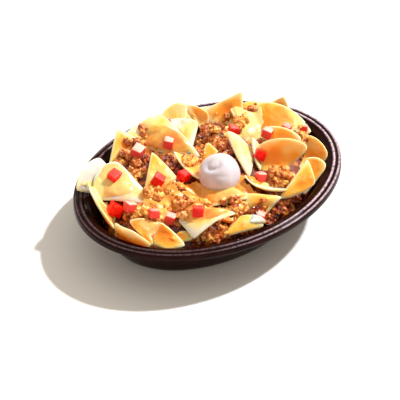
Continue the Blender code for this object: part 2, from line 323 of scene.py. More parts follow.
def spread_oval(shape):
    for vertex in shape.verts:
        radius = math.hypot(vertex.co.x, vertex.co.y)
        vertex.co.x *= 1 + STRETCH / max(radius, BASE_RADIUS)


def spin_line(line, steps):
    """A section of (radius, height) points in mm, turned all the way round and spread to the oval."""
    shape = bmesh.new()
    points = [shape.verts.new((radius * MM, 0, height * MM)) for radius, height in line]
    edges = [shape.edges.new(pair) for pair in zip(points, points[1:])]
    bmesh.ops.spin(shape, geom=points + edges, cent=(0, 0, 0), axis=(0, 0, 1), angle=math.tau,
                   steps=steps, use_merge=True)
    bmesh.ops.remove_doubles(shape, verts=shape.verts[:], dist=MERGE_DISTANCE)
    bmesh.ops.recalc_face_normals(shape, faces=shape.faces[:])
    spread_oval(shape)
    return shape


# %% [markdown]
# ## The bowl's plastic
# The plastic is almost black with a brown cast. It is smooth, but the forming leaves a fine pebble in it.
# The crests of the rim's beads are painted with small pale spots, more of them at one end: a painted
# highlight of the light that the beads reflect. Height and place say where the spots are: a band of heights
# picks the crests, and noise breaks the band up. A few grains of salt and crumb are the lightest specks.

# %% Bowl material and piece
# The pale crest spots are a painted highlight: the light that the rim's beads reflect, stronger at one end.
BEAD_CREST = (0.0422, 0.0430)   # the heights at which the pale spots start and are full
HIGHLIGHT_ALONG_X = (-0.06, 0.04)    # the spots grow in strength between these places


def bowl_paint():
    paint = Paint("dark_plastic", Roughness=0.2, IOR=1.3, Specular_IOR_Level=0.13)
    shade = paint.ramp(paint.noise(9, 4), (0.3, tone(20, 5, 3)), (0.7, tone(38, 12, 7)))
    specks = paint.level(paint.cells(5.0), 1.0, 0.0, 0.05, 0.09)
    chosen = paint.level(paint.noise(14, 2), 0.0, 1.0, 0.52, 0.60)
    axes = paint.tree.nodes.new("ShaderNodeSeparateXYZ")
    paint.fill(axes, {"Vector": paint.place})
    crest = paint.level(axes.outputs["Z"], 0.0, 1.0, *BEAD_CREST)
    # Pale spots on the bead crests: a painted highlight, broken up by noise and stronger towards plus X.
    crest_highlight = paint.product(paint.level(paint.noise(2.5, 4, 0.7), 0.2, 0.9, 0.36, 0.56),
                         paint.level(axes.outputs["X"], 0.1, 1.0, *HIGHLIGHT_ALONG_X))
    shade = paint.mix(paint.product(crest, crest_highlight), shade, tone(224, 198, 212))
    paint.colour(paint.mix(paint.product(specks, chosen), shade, tone(190, 170, 165)))
    paint.roughness(paint.level(paint.noise(1.8, 3), 0.08, 0.18, 0.35, 0.65))
    paint.bump(paint.noise(1.6, 4, 0.6), 0.05)
    return paint.material


def make_bowl():
    shape = spin_line(BOWL_LINE, BOWL_STEPS)
    middle = min(shape.faces, key=lambda face: face.calc_center_median().xy.length)
    if middle.normal.z < 0:
        bmesh.ops.reverse_faces(shape, faces=shape.faces[:])
    bowl = add_piece("bowl_formed", shape, bowl_paint(), "bowl", "bowl")
    wall = bowl.modifiers.new("Sheet", "SOLIDIFY")
    wall.thickness = SHEET
    wall.offset = -1


make_bowl()

# %% [markdown]
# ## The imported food
# Under the chips lies the rest of the serving: broken chips, beef and sauce, packed together. Only
# gaps of it show, so it needs no pieces of its own: one turned mound with a lumpy top is enough. `spin`
# makes the mound, the faces of its top are subdivided, and each point there moves up or down by noise
# at two sizes. Soft hills stand where the beef will lie.

# %% Core shape
CORE_LINE = [
    (0.0, 49.0), (12.0, 49.0), (22.0, 48.0), (31.0, 46.8), (40.0, 45.0), (48.0, 42.5), (54.0, 39.5),
    (60.0, 35.0), (65.0, 30.0), (68.5, 25.5), (66.0, 18.0), (61.0, 9.5), (54.0, 4.0), (0.0, 3.0),
]
CORE_STEPS = 120
LUMPY_FROM = 0.024              # the height where the mound's top starts
LUMPS = ((160, 1.5), (420, 0.8))    # how close together the lumps are, and their height in mm
# Hills of beef: place in the plan, top height and reach in mm, and how golden the crumbs on them are (0 is
# brown, 1 is golden with sauce). The golden number is partly painted light: it is set higher where chips
# shade the crumbs.
HILLS = [
    (31, 27, 54, 15, 0.0), (-37, 47, 51, 14, 0.2), (-25, 23, 53, 14, 0.0), (33, -47, 51, 13, 0.5),
    (-4, -60, 43, 12, 0.3), (14, -70, 39, 12, 0.1), (-51, -53, 40, 12, 0.8), (-44, -32, 50, 12, 0.3),
    (-72, 0, 45, 13, 0.5), (88, -14, 44, 12, 0.6), (18, 5, 58, 14, 0.5), (60, -8, 48, 12, 0.4),
    (-68, 25, 44, 12, 0.3), (-8, 40, 46, 14, 0.2), (60, 30, 45, 14, 0.2), (52, 14, 48, 12, 0.2),
    (-30, -64, 38, 12, 0.7), (38, -72, 36, 10, 0.3), (-43, -51, 38, 12, 0.9), (24, -58, 38, 11, 0.2),
    (44, -60, 38, 10, 0.1), (57, -59, 36, 9, 0.5), (6, -57, 40, 10, 0.1), (-6, -70, 38, 8, 0.6),
]


def hill_height(x, y, ground):
    """The ground's height after the hills are laid over it, in metres."""
    height = ground
    for hill_x, hill_y, top, reach, _ in HILLS:
        away = math.hypot(x - hill_x * MM, y - hill_y * MM) / (reach * MM)
        if away < 1:
            rise = (top * MM - ground) * (1 - away**2) ** 1.5
            height = max(height, ground + rise)
    return height


def make_core():
    shape = spin_line(CORE_LINE, CORE_STEPS)
    top_edges = [edge for edge in shape.edges
                 if min(vertex.co.z for vertex in edge.verts) > LUMPY_FROM]
    bmesh.ops.subdivide_edges(shape, edges=top_edges, cuts=1, use_grid_fill=True)
    shape.normal_update()
    for vertex in shape.verts:
        if vertex.co.z > LUMPY_FROM:
            vertex.co.z = hill_height(vertex.co.x, vertex.co.y, vertex.co.z)
            vertex.co.z += sum(noise.noise(vertex.co * pitch) * height * MM for pitch, height in LUMPS)
    face_outwards(shape)
    return shape


core_shape = make_core()
core_tree = BVHTree.FromBMesh(core_shape)
print("core:", len(core_shape.faces), "faces")

# %% [markdown]
# ## The chips
# A tortilla chip is a quarter of a round tortilla: two straight cuts, one curved side, rounded corners
# and a thickness of about three millimetres. In the fryer it warps, puffs into blisters and curls. One
# chip could be modelled and copied, but no two of them bend alike, and each has to lie where the heap
# holds it. So a chip is made from its three corners, and the list of corners is the design of the heap:
# it sets how the chips lean on each other.

# %% Chip places
# Each row gives the wedge's tip and the two ends of its curved side, in mm. Next come how far its
# middle stands above (or, below zero, hangs under) the flat through the corners and the height of its
# ripple, then how far the middles of its left, curved and right sides rise, and how sharp its corners
# are.
LEVEL = (0, 0, 0)
CHIPS = {
    "left_outer": ((-58, 26, 36), (-98, 46, 48), (-64, 58, 57), (0, 0), (-4, 3, 0), 14),
    "left_curl": ((-83, 12, 40), (-90, 46, 54), (-103, -7, 42), (-5, 0), (0, 3, 0), 9),
    "left_cheesy": ((-62, -12, 47), (-92, 32, 44), (-56, 46, 57), (3, 0), (0, 2, 0), 10),
    "back_left": ((-31, 78, 60), (-57, 58, 42), (-12, 44, 47), (-2, 0), (0, 0, 0), 12),
    "big_left": ((7, 70, 62), (-20, 71, 55), (2, 12, 51), (6, 0), (0, -2, 0), 10),
    "big_left_low": ((8, 62, 56), (-24, 58, 50), (4, 13, 49), (6, 0), LEVEL, 10),
    "back_pale": ((1, 24, 48), (4, 66, 52), (29, 46, 54), (-2, 0), (0, 2, 0), 9),
    "back_folded": ((6, 42, 45), (10, 73, 55), (33, 64, 61), (-4, 0), (0, 2, 0), 9),
    "back_lobe": ((30, 38, 45), (30, 68, 59), (42, 48, 55), (-4, 0), (0, 2, 0), 8),
    "back_tall": ((75, 43, 67), (43, 62, 50), (58, 26, 42), (-2, 0), LEVEL, 14),
    "right_tall": ((100, 19, 63), (82, 40, 46), (93, -4, 40), (-2, 0), LEVEL, 12),
    "right_top": ((54, -6, 44), (78, 34, 58), (96, -13, 52), (4, 0), (0, 2, 0), 9),
    "middle_cheesy": ((41, 4, 49), (59, 43, 57), (80, 12, 50), (3, 0), (0, -3, 0), 8),
    "middle_fill": ((42, 4, 46), (66, 26, 50), (78, -2, 50), (2, 0), LEVEL, 8),
    "middle_sliver": ((23, 29, 60), (31, 10, 54), (52, 28, 48), (0, 0), LEVEL, 11),
    "slender_left": ((41, -9, 51), (29, 13, 65), (16, -30, 46), (2, 0), LEVEL, 7),
    "slender_right": ((47, -14, 50), (41, -5, 63), (28, -30, 47), (-3, 0), LEVEL, 7),
    "big_right": ((25, -36, 40), (37, -13, 59), (69, -44, 58), (-7, 0), (0, 9, 0), 5),
    "dish_floor": ((20, -28, 44), (44, -14, 46), (43, -59, 46), (-4, 0), LEVEL, 9),
    "behind_big": ((46, -20, 38), (62, 3, 57), (75, -29, 55), (-2, 0), (0, 2, 0), 8),
    "far_right": ((62, -37, 36), (84, -24, 53), (82, -52, 48), (-7, 0), (0, 3, 0), 5),
    "right_wall": ((44, -62, 32), (59, -46, 53), (70, -62, 50), (-2, 0), (0, 2, 0), 6),
    "right_dish": ((45, -38, 45), (8, -30, 53), (24, -65, 50), (-5, 0), LEVEL, 9),
    "right_fold": ((53, -56, 63), (18, -61, 44), (51, -69, 47), (2, 0), LEVEL, 9),
    "middle_ridge": ((0, -52, 47), (-31, -37, 46), (-10, -14, 50), (3, 0), LEVEL, 10),
    "middle_wavy": ((20, -64, 46), (-6, -38, 47), (-4, -64, 36), (2, 1), (3, 0, 0), 10),
    "middle_point": ((-31, 34, 61), (-28, -2, 46), (-60, 10, 45), (2, 0), LEVEL, 13),
    "cream_rest": ((-21, 22, 62), (-21, -25, 57), (10, 2, 48), (-4, 0), (-1, 0, 0), 10),
    "cream_back": ((9, 12, 63), (-6, 8, 52), (18, -8, 46), (1, 0), LEVEL, 9),
    "sauced_point": ((-36, 4, 55), (-58, -12, 44), (-27, -28, 45), (1, 0), LEVEL, 10),
    "front_flat": ((-65, -56, 44), (-61, -32, 47), (-25, -61, 51), (2, 0), (0, 4, 3), 11),
    "front_curl": ((-87, -17, 29), (-104, -7, 51), (-93, -40, 42), (-5, 0), (0, 3, 0), 8),
    "front_shaded": ((-90, -36, 38), (-91, -10, 48), (-71, -28, 46), (-1, 0), LEVEL, 9),
    "front_saddle": ((-77, -32, 54), (-88, -32, 38), (-69, -53, 39), (-3, 0), (0, 3, 0), 7),
    "front_low": ((-88, -34, 37), (-64, -42, 43), (-64, -52, 40), (-2, 0), LEVEL, 10),
    "front_right": ((-45, -66, 41), (-21, -60, 47), (-12, -77, 41), (2, 0), (0, 2, 0), 11),
    "back_small": ((60, 22, 42), (70, 45, 52), (87, 30, 54), (1, 0), LEVEL, 11),
    "back_low": ((52, 40, 34), (28, 76, 46), (64, 58, 47), (-3, 0), LEVEL, 11),
    "back_wall": ((-10, 52, 34), (-22, 79, 47), (14, 82, 45), (-3, 0), LEVEL, 11),
    "end_low": ((70, 14, 32), (99, 24, 44), (100, -14, 42), (-4, 0), LEVEL, 11),
    "front_corner": ((-14, -66, 48), (-22, -71, 47), (-9, -76, 44), (1, 0), LEVEL, 12),
}
# How toasted a chip is, partly painted light: chips that the light washes are set pale and chips in shade
# orange. -2 is nearly white and 2 is orange. A chip that isn't named gets 0 to 1.
CHIP_TINTS = {
    "left_outer": -1.8, "left_cheesy": -1.2, "left_curl": 0.3, "back_pale": -0.8, "back_folded": 0.4,
    "back_lobe": 0.0, "back_tall": 0.1, "big_left": 0.0, "big_left_low": 1.0, "slender_left": -0.2,
    "slender_right": -0.5, "right_dish": -0.7, "right_top": 1.0, "behind_big": 0.2, "big_right": 0.35,
    "dish_floor": 1.2, "far_right": 0.7, "right_wall": 0.2, "front_shaded": 1.4, "front_saddle": 0.3,
    "front_right": 0.5, "front_corner": -1.8, "front_flat": -0.5, "middle_ridge": 0.6,
    "middle_point": 0.7, "end_low": 0.4,
}
print("chips to make:", len(CHIPS), "of which", len(CHIP_TINTS), "have a set tint")

# %% [markdown]
# ## The shape of one chip
# A flat sheet could be cut to a wedge and given a thickness, but its rim would be square. Each chip
# starts as a ball instead, which has a round rim and no seam. The ball's outline is pulled to the wedge
# and its two halves are pressed flat, one thickness apart. Then the sheet is domed, rippled and
# blistered.

# %% Chip shape
CHIP_THICKNESS = 3.2 * MM
CHIP_ROUND = 60                 # points round the rim
CHIP_RINGS = 24                 # steps from the middle of the top to the middle of the underside
DOME_FALL = 1.3                 # over 1, so that the corners bend down past the flat
WAVES = ((1.1, 1.8), (2.6, 0.6))    # how close together the waves are, and their height in mm
BLISTER_PITCH = 4.5
BLISTER_FROM = 0.25             # the noise over which a blister starts
BLISTER_HEIGHT = 1.6
BLISTER_UNDERSIDE = -0.3        # a blister's hollow on the other side, as a share of its height
THIRDS = (0, math.tau / 3, 2 * math.tau / 3)    # the directions of the tip and the other corners
CHIP_SEED = 7


def wedge_reach(angle, sharpness):
    """How far a wedge with rounded corners reaches from its middle, for a tip at distance 1."""
    arc = math.cos(angle) + math.sqrt(math.cos(angle) ** 2 + 2)
    edges = [1 / arc]
    for corner in THIRDS[1:]:
        edges.append(max(0.0, -2 * math.cos(angle - corner)))
    return sum(edge**sharpness for edge in edges) ** (-1 / sharpness)


def warp(across, along, seed):
    """The chip's own uneven rise at a place on it, in mm: slow waves, and blisters on top."""
    place = Vector((across, along, seed))
    slow = sum(noise.noise(place * pitch) * height for pitch, height in WAVES)
    bubble = noise.noise(place * BLISTER_PITCH + Vector((9, 4, 2))) - BLISTER_FROM
    return slow, max(0.0, bubble) * BLISTER_HEIGHT


def make_chip(tip, left, right, middle, sides, sharpness, seed, tint):
    """One chip as a bmesh, with its tint and its distance from the rim kept as attributes."""
    dome, ripple = middle
    left_side, curved_side, right_side = sides
    tip, left, right = (Vector(corner) * MM for corner in (tip, left, right))
    up = (left - tip).cross(right - tip).normalized()
    if up.z < 0:
        up.negate()
    shape = bmesh.new()
    tint_layer = shape.verts.layers.float.new("tint")
    rim_layer = shape.verts.layers.float.new("rim")
    bmesh.ops.create_uvsphere(shape, u_segments=CHIP_ROUND, v_segments=CHIP_RINGS, radius=1)
    for vertex in shape.verts:
        flat = min(1.0, vertex.co.xy.length)
        angle = math.atan2(vertex.co.y, vertex.co.x)
        reach = flat * wedge_reach(angle, sharpness)
        across, along = reach * math.sin(angle), reach * math.cos(angle)
        weights = [(1 + 2 * (along * math.cos(turn) + across * math.sin(turn))) / 3 for turn in THIRDS]
        place = tip * weights[0] + left * weights[1] + right * weights[2]
        slow, blister = warp(across, along, seed)
        bend = dome * (1 - DOME_FALL * reach**2) + ripple * math.cos(math.tau * across) + slow
        bend += 4 * (left_side * weights[0] * weights[1] + curved_side * weights[1] * weights[2]
                     + right_side * weights[2] * weights[0])
        side = math.copysign(math.sqrt(max(0.0, 1 - flat**6)), vertex.co.z)
        puff = blister * (1 - flat**4) * (1 if vertex.co.z > 0 else BLISTER_UNDERSIDE)
        vertex[tint_layer] = tint
        vertex[rim_layer] = flat
        vertex.co = place + up * ((bend + puff) * MM + side * CHIP_THICKNESS / 2)
    face_outwards(shape)
    return shape


def join_shapes(shapes):
    """Many bmeshes as one, with their attributes."""
    joined = bmesh.new()
    for shape in shapes:
        mesh = bpy.data.meshes.new("part")
        shape.to_mesh(mesh)
        shape.free()
        joined.from_mesh(mesh)
        bpy.data.meshes.remove(mesh)
    return joined


def make_chips():
    draw = random.Random(CHIP_SEED)
    shapes = []
    for name, (tip, left, right, middle, sides, sharpness) in CHIPS.items():
        seed = draw.uniform(0, 50)
        tint = CHIP_TINTS.get(name, draw.random())
        shapes.append(make_chip(tip, left, right, middle, sides, sharpness, seed, tint))
    return join_shapes(shapes)


chip_shape = make_chips()
chip_tree = BVHTree.FromBMesh(chip_shape)
print("chips:", len(CHIPS), "with", len(chip_shape.faces), "faces")

# %% [markdown]
# ## The chips' finish
# Fried corn is a warm pale yellow that turns golden to orange in thin and toasted places, small brown
# freckles lie in patches, and oil leaves a soft sheen. The rims are painted paler, a painted highlight of
# the light that catches them, and the middles more orange, a painted shade of the hollows. Light goes
# through a thin chip, so the shader scatters it under the surface. Each chip has a tint of its own. This is
# partly because no two chips fry alike, and partly painted light: pale on chips that the light washes and
# orange on chips in shade. That would take a material for each chip, or, as here, an attribute in the mesh
# that one material reads. A second attribute says how near to the rim a point is.

# %% Chip material and piece
def chip_paint():
    paint = Paint("fried_corn", Roughness=0.42, IOR=1.45, Subsurface_Weight=0.75,
                  Subsurface_Radius=(0.006, 0.0034, 0.0014), Subsurface_Scale=1.0)
    # The tint is partly toast and partly painted light: washed chips are set pale, shaded chips orange.
    own = paint.level(paint.attribute("tint"), -0.67, 0.41, -2.0, 2.0)
    toast_and_light = paint.sum(paint.noise(18, 1), own)
    # Towards the middle a chip turns more orange: a painted shade of its hollow.
    toast_and_light = paint.sum(toast_and_light, paint.level(paint.attribute("rim"), 0.13, -0.15, 0.15, 0.95))
    base = paint.ramp(toast_and_light, (0.02, tone(214, 208, 198)), (0.16, tone(228, 204, 152)),
                      (0.32, tone(240, 198, 116)), (0.50, tone(248, 174, 52)), (0.72, tone(244, 138, 16)))
    # A paler rim: a painted highlight where the light catches the edge.
    rim_highlight = paint.level(paint.attribute("rim"), 0.0, 0.9, 0.85, 0.98)
    base = paint.mix(rim_highlight, base, tone(238, 222, 180))
    freckles = paint.level(paint.noise(2.2, 2), 0.0, 1.0, 0.66, 0.74)
    where = paint.level(paint.noise(11, 2), 0.0, 0.8, 0.52, 0.64)
    paint.colour(paint.mix(paint.product(freckles, where), base, tone(168, 84, 28)))
    paint.roughness(paint.level(paint.noise(6, 3), 0.3, 0.55, 0.35, 0.65))
    paint.bump(paint.sum(paint.noise(1.1, 4), paint.noise(4.0, 2)), 0.22)
    return paint.material


add_piece("chips", chip_shape, chip_paint(), "chips", "heap")

# %% [markdown]
# ## The beef
# The beef is fried loose, so it breaks into crumbs from a pinhead to a pea. A rough material on a few
# lumps would look like soil, so every crumb is a shape of its own: a small ball of 80 faces, squeezed
# and dented by noise. Each hill gets crumbs that sit on the imported food, also under the chips that
# overhang it, and some lie on the chips themselves. A ray from above finds the surface under a crumb.
# Crumbs that the sauce has touched are more golden, and crumbs that chips shade are set more golden too, as
# painted light; this is the last number of a hill and of a spot.

# %% Crumbs
CRUMB_SPOTS = [        # beef that lies on the chips: place in the plan, reach, count, how golden
    (33, -45, 9, 70, 0.6), (-48, -31, 9, 36, 0.2), (34, 37, 8, 46, 0.0), (-20, -46, 6, 14, 0.3),
    (-78, -3, 7, 30, 0.5), (-56, 3, 6, 26, 0.8), (-30, 60, 6, 12, 0.0),
    (-2, -66, 9, 30, 0.4), (-21, 32, 8, 30, 0.1), (-41, 50, 9, 36, 0.5), (28, 31, 10, 40, 0.0),
    (-5, 10, 6, 26, 0.8), (82, -20, 7, 20, 0.4), (-64, -16, 8, 34, 0.9), (-80, -4, 7, 26, 0.7),
    (14, 22, 10, 40, 0.8), (-47, -68, 7, 34, 0.3), (52, 44, 6, 12, 0.6), (42, 40, 6, 18, 0.6),
    (-46, -8, 9, 30, 0.5), (-14, -52, 7, 20, 0.9), (32, -76, 9, 44, 0.0),
]
CRUMB_SMALLEST = 0.9 * MM
CRUMB_LARGEST = 3.7 * MM
CRUMB_FACES = 80
CRUMB_SEED = 11
HILL_SHARE = 0.95               # crumbs lie within this share of a hill's reach
HILL_CRUMBS = 0.45              # a hill has this many crumbs times its reach in mm squared
CRUMB_LENGTH = (0.85, 1.25)     # the least and most length and height of a crumb against its size
CRUMB_HEIGHT = (0.65, 0.95)
CRUMB_ROUND = 0.95              # how far out a crumb's surface is on the whole, and how deep its dents
CRUMB_DENT = 0.75
CRUMB_PITCH = 1.5
CRUMB_MANY_SMALL = 1.5          # over 1, so that small crumbs are more common than large ones
CRUMB_RAISED = 0.35             # how far a crumb's middle is over the surface, against its size
DROP_FROM = 0.12                # a height well over the food, in metres


def drop(trees, x, y):
    """The highest surface of several under a place in the plan, or None."""
    heights = []
    for tree in trees:
        hit = tree.ray_cast(Vector((x, y, DROP_FROM)), Vector((0, 0, -1)))[0]
        if hit is not None:
            heights.append(hit.z)
    return max(heights) if heights else None


def add_crumb(shape, place, size, draw):
    """Adds one turned, squeezed and dented ball to a bmesh and returns its points."""
    angle = draw.uniform(0, math.tau)
    turn = Matrix.Rotation(angle, 4, Vector((draw.uniform(-1, 1), draw.uniform(-1, 1), 1)))
    squeeze = Matrix.Diagonal((size * draw.uniform(*CRUMB_LENGTH), size,
                               size * draw.uniform(*CRUMB_HEIGHT), 1))
    made = bmesh.ops.create_icosphere(shape, subdivisions=2, radius=1,
                                      matrix=Matrix.Translation(place) @ turn @ squeeze)
    offset = Vector((draw.uniform(0, 90), 0, 0))
    for vertex in made["verts"]:
        out = vertex.co - place
        dent = CRUMB_ROUND + CRUMB_DENT * noise.noise(out / size * CRUMB_PITCH + offset)
        vertex.co = place + out * dent
    return made["verts"]


def scatter_crumbs(trees, spots, draw):
    """One bmesh of crumbs for each spot, so that no bmesh grows too large to edit quickly."""
    shapes = []
    for spot_x, spot_y, reach, count, golden in spots:
        shape = bmesh.new()
        tint_layer = shape.verts.layers.float.new("tint")
        for _ in range(count):
            away = reach * math.sqrt(draw.random())
            angle = draw.uniform(0, math.tau)
            x = (spot_x + away * math.cos(angle)) * MM
            y = (spot_y + away * math.sin(angle)) * MM
            height = drop(trees, x, y)
            if height is None:
                continue
            size = CRUMB_SMALLEST + (CRUMB_LARGEST - CRUMB_SMALLEST) * draw.random() ** CRUMB_MANY_SMALL
            tint = draw.random() + golden
            place = Vector((x, y, height + size * CRUMB_RAISED))
            for vertex in add_crumb(shape, place, size, draw):
                vertex[tint_layer] = tint
        shapes.append(shape)
    return shapes


def make_crumbs():
    draw = random.Random(CRUMB_SEED)
    on_hills = [(x, y, reach * HILL_SHARE, round(reach**2 * HILL_CRUMBS), golden)
                for x, y, _, reach, golden in HILLS]
    shapes = scatter_crumbs([core_tree], on_hills, draw)
    shapes += scatter_crumbs([core_tree, chip_tree], CRUMB_SPOTS, draw)
    return join_shapes(shapes)


crumb_shape = make_crumbs()
crumb_tree = BVHTree.FromBMesh(crumb_shape)
print("crumbs:", len(crumb_shape.faces) // CRUMB_FACES)

# %% [markdown]
# ## The beef's finish
# Fried beef is dark brown where it is dry and goes to amber and gold where fat and cheese sauce coat
# it. Every crumb carries its own tint, which noise varies within the crumb, and a ramp turns the sum
# into colour. The fat is a thin glossy coat over the rough meat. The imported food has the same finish,
# with a little more of the sauce's orange, so that gaps between the chips look like more of the same.

# %% Beef material and pieces
def beef_paint(name, sauce_share):
    """The finish of a beef piece, with more blotches of sauce for a larger share."""
    paint = Paint(name, Roughness=0.35, IOR=1.45, Coat_Weight=0.45, Coat_Roughness=0.1)
    # A crumb's tint holds its golden number: partly the sauce's colour, partly painted light on crumbs that
    # chips shade.
    own = paint.level(paint.attribute("tint"), -0.15, 0.42, 0.0, 2.4)
    meat = paint.ramp(paint.sum(paint.noise(3.2, 4), own), (0.20, tone(54, 12, 2)),
                      (0.42, tone(122, 40, 5)), (0.62, tone(194, 90, 16)), (0.82, tone(246, 188, 92)))
    sauce = paint.level(paint.noise(17, 3), 0.0, 1.0, 0.62 - sauce_share, 0.72 - sauce_share)
    paint.colour(paint.mix(sauce, meat, tone(222, 118, 26)))
    paint.roughness(paint.level(paint.noise(2.5, 2), 0.2, 0.55, 0.35, 0.65))
    paint.bump(paint.noise(1.0, 4, 0.65), 0.5)
    return paint.material


add_piece("packed_food", core_shape, beef_paint("packed_food", 0.05), "beef")
add_piece("beef_crumbs", crumb_shape, beef_paint("ground_beef", 0.04), "beef", smooth=False)

# %% [markdown]
# ## The cheese sauce
# The sauce is thick and warm. It coats what it fell on, fills the hollows between crumbs and breaks
# off at the chips' edges. A fluid simulation could pour it, but a dropped sheet gives the same look
# sooner and always the same way. It starts as a fine grid over the bowl. Each grid point is dropped
# onto the food, the grid is smoothed as a thick liquid would be, and it is raised where sauce was
# poured and sunk elsewhere. Faces that end up under the food, or that would hang like a curtain from a
# chip's edge, are deleted. Solidify closes what remains.

# %% Sauce places
# Each pour is an ellipse: middle in the plan, half length and half width in mm, turn in degrees, amount,
# and how much pale painted highlight it gets.
POURS = [
    (-12, 40, 22, 13, -52, 1.2, 0.1), (-74, 28, 20, 15, 50, 1.1, 0.5), (-93, 14, 12, 6, 80, 0.7, 0.2),
    (-34, -22, 25, 17, -30, 1.3, 0.0), (-54, -6, 20, 15, 10, 1.1, 0.1), (-14, -40, 22, 12, -35, 1.0, 0.3),
    (-44, -38, 17, 14, 40, 1.0, 0.1), (-26, -46, 15, 10, 10, 1.0, 0.2), (56, 22, 19, 18, 30, 1.2, 0.6),
    (-72, -18, 13, 11, 0, 0.9, 0.3), (-86, 34, 12, 12, 0, 0.9, 0.9),
    (7, -31, 15, 9, -65, 1.0, 0.0), (-37, -54, 14, 8, -10, 1.0, 0.1),
]
SAUCE_HALF_LONG = 0.108         # half the grid's sides
SAUCE_HALF_WIDE = 0.082
SAUCE_STEP = 0.95 * MM
SAUCE_DEPTH = 2.0 * MM          # how high the sauce stands over the food in the middle of a pour
SAUCE_SINK = 3 * SAUCE_DEPTH    # how deep the grid goes under the food outside the pours
SAUCE_HIDDEN = 0.5 * MM         # a face this deep under the food is deleted
SAUCE_CLIFF = 3.2 * MM          # a face over a drop of more than this is deleted
SAUCE_OUTSIDE = -0.99           # a point with no more sauce than this is deleted
SAUCE_SMOOTHING = 7
SAUCE_SCRAP = 24                # loose scraps with fewer points than this are deleted
SAUCE_FILM = 0.9 * MM
EDGE_WOBBLE = ((0.3, 75, 0.6), (0.7, 200, 0.25))    # layer of the noise, how close together, how much


def poured(x, y):
    """How much sauce lies at a place in the plan, over 0 in a pour and below 0 outside, and how much pale
    painted highlight it gets.
    """
    amount, sauce_highlight = -1.0, 0.0
    for middle_x, middle_y, long, wide, turn, weight, highlight in POURS:
        angle = math.radians(turn)
        dx, dy = x / MM - middle_x, y / MM - middle_y
        along = (dx * math.cos(angle) + dy * math.sin(angle)) / long
        across = (-dx * math.sin(angle) + dy * math.cos(angle)) / wide
        here = weight * (1 - along**2 - across**2)
        if here > amount:
            amount, sauce_highlight = here, highlight
    wobble = sum(noise.noise(Vector((x, y, layer)) * pitch) * strength
                 for layer, pitch, strength in EDGE_WOBBLE)
    return max(-1.0, min(1.0, amount + wobble)), sauce_highlight


def make_sauce(trees):
    """The sauce's upper side as a bmesh, dropped onto the surfaces that the trees hold."""
    shape = bmesh.new()
    sauce_highlight_layer = shape.verts.layers.float.new("highlight")
    bmesh.ops.create_grid(shape, x_segments=round(2 * SAUCE_HALF_LONG / SAUCE_STEP),
                          y_segments=round(2 * SAUCE_HALF_WIDE / SAUCE_STEP), size=1)
    bmesh.ops.scale(shape, vec=(SAUCE_HALF_LONG, SAUCE_HALF_WIDE, 1), verts=shape.verts[:])
    outside = []
    for vertex in shape.verts:
        height = drop(trees, vertex.co.x, vertex.co.y)
        if height is None or poured(vertex.co.x, vertex.co.y)[0] <= SAUCE_OUTSIDE:
            outside.append(vertex)
        else:
            vertex.co.z = height
    bmesh.ops.delete(shape, geom=outside, context="VERTS")
    shape.verts.ensure_lookup_table()
    food = [vertex.co.z for vertex in shape.verts]
    for _ in range(SAUCE_SMOOTHING):
        bmesh.ops.smooth_vert(shape, verts=shape.verts[:], factor=0.5, use_axis_z=True)
    for vertex in shape.verts:
        amount, vertex[sauce_highlight_layer] = poured(vertex.co.x, vertex.co.y)
        vertex.co.z += amount * (SAUCE_DEPTH if amount > 0 else SAUCE_SINK)
    shape.verts.index_update()
    hidden = []
    for face in shape.faces:
        levels = [food[vertex.index] for vertex in face.verts]
        sunk = all(vertex.co.z < food[vertex.index] - SAUCE_HIDDEN for vertex in face.verts)
        if sunk or max(levels) - min(levels) > SAUCE_CLIFF:
            hidden.append(face)
    bmesh.ops.delete(shape, geom=hidden, context="FACES")
    bmesh.ops.smooth_vert(shape, verts=shape.verts[:], factor=0.4, use_axis_x=True, use_axis_y=True,
                          use_axis_z=True)
    drop_islands(shape, SAUCE_SCRAP)
    return shape


def drop_islands(shape, fewest):
    """Deletes loose scraps with fewer vertices than the fewest."""
    waiting = set(shape.verts)
    scraps = []
    while waiting:
        front = [waiting.pop()]
        island = set(front)
        while front:
            vertex = front.pop()
            near = {edge.other_vert(vertex) for edge in vertex.link_edges} & waiting
            waiting -= near
            island |= near
            front.extend(near)
        if len(island) < fewest:
            scraps.extend(island)
    bmesh.ops.delete(shape, geom=scraps, context="VERTS")


print("pours of sauce:", len(POURS))

# %% [markdown]
# ## The sauce's finish
# Warm cheese sauce is orange where it is thick or mixed with fat. Wide, soft noise gives the orange its
# blotches. Where certain pours lie, a pale milky yellow is painted in instead: a painted highlight of the
# light that the glossy sauce reflects there. It belongs to those pours and not to chance, so each point of
# the sheet carries how much of it it gets, and the material mixes the two colours by it.

# %% Sauce material and piece
def sauce_paint():
    paint = Paint("cheese_sauce", Roughness=0.3, IOR=1.4, Subsurface_Weight=0.35,
                  Subsurface_Radius=(0.005, 0.0025, 0.001), Subsurface_Scale=1.0,
                  Coat_Weight=0.3, Coat_Roughness=0.15)
    warm = paint.ramp(paint.noise(13, 2), (0.30, tone(222, 112, 26)), (0.52, tone(240, 148, 48)),
                      (0.76, tone(246, 194, 98)))
    # The pale yellow is a painted highlight, mixed in by each point's share from its pour.
    paint.colour(paint.mix(paint.attribute("highlight"), warm, tone(238, 216, 142)))
    paint.bump(paint.noise(3.2, 3), 0.45)
    return paint.material


def add_sauce():
    """Adds the sauce and returns its upper side as a tree, for what falls on it."""
    shape = make_sauce([core_tree, chip_tree, crumb_tree])
    tree = BVHTree.FromBMesh(shape)
    sauce = add_piece("cheese_sauce", shape, sauce_paint(), "cheese")
    film = sauce.modifiers.new("Film", "SOLIDIFY")
    film.thickness = SAUCE_FILM
    film.offset = -1
    rounding = sauce.modifiers.new("Rounding", "SUBSURF")
    rounding.levels = 1
    rounding.render_levels = 1
    return tree


sauce_tree = add_sauce()

# %% [markdown]
# ## Beef on the sauce
# Some beef fell last and lies on the sauce. These crumbs are scattered in the same way as the others,
# but the ray from above may now also stop at the sauce. They are a piece of their own, because the
# sauce had to be dropped onto the first crumbs before the last ones could be dropped onto the sauce.

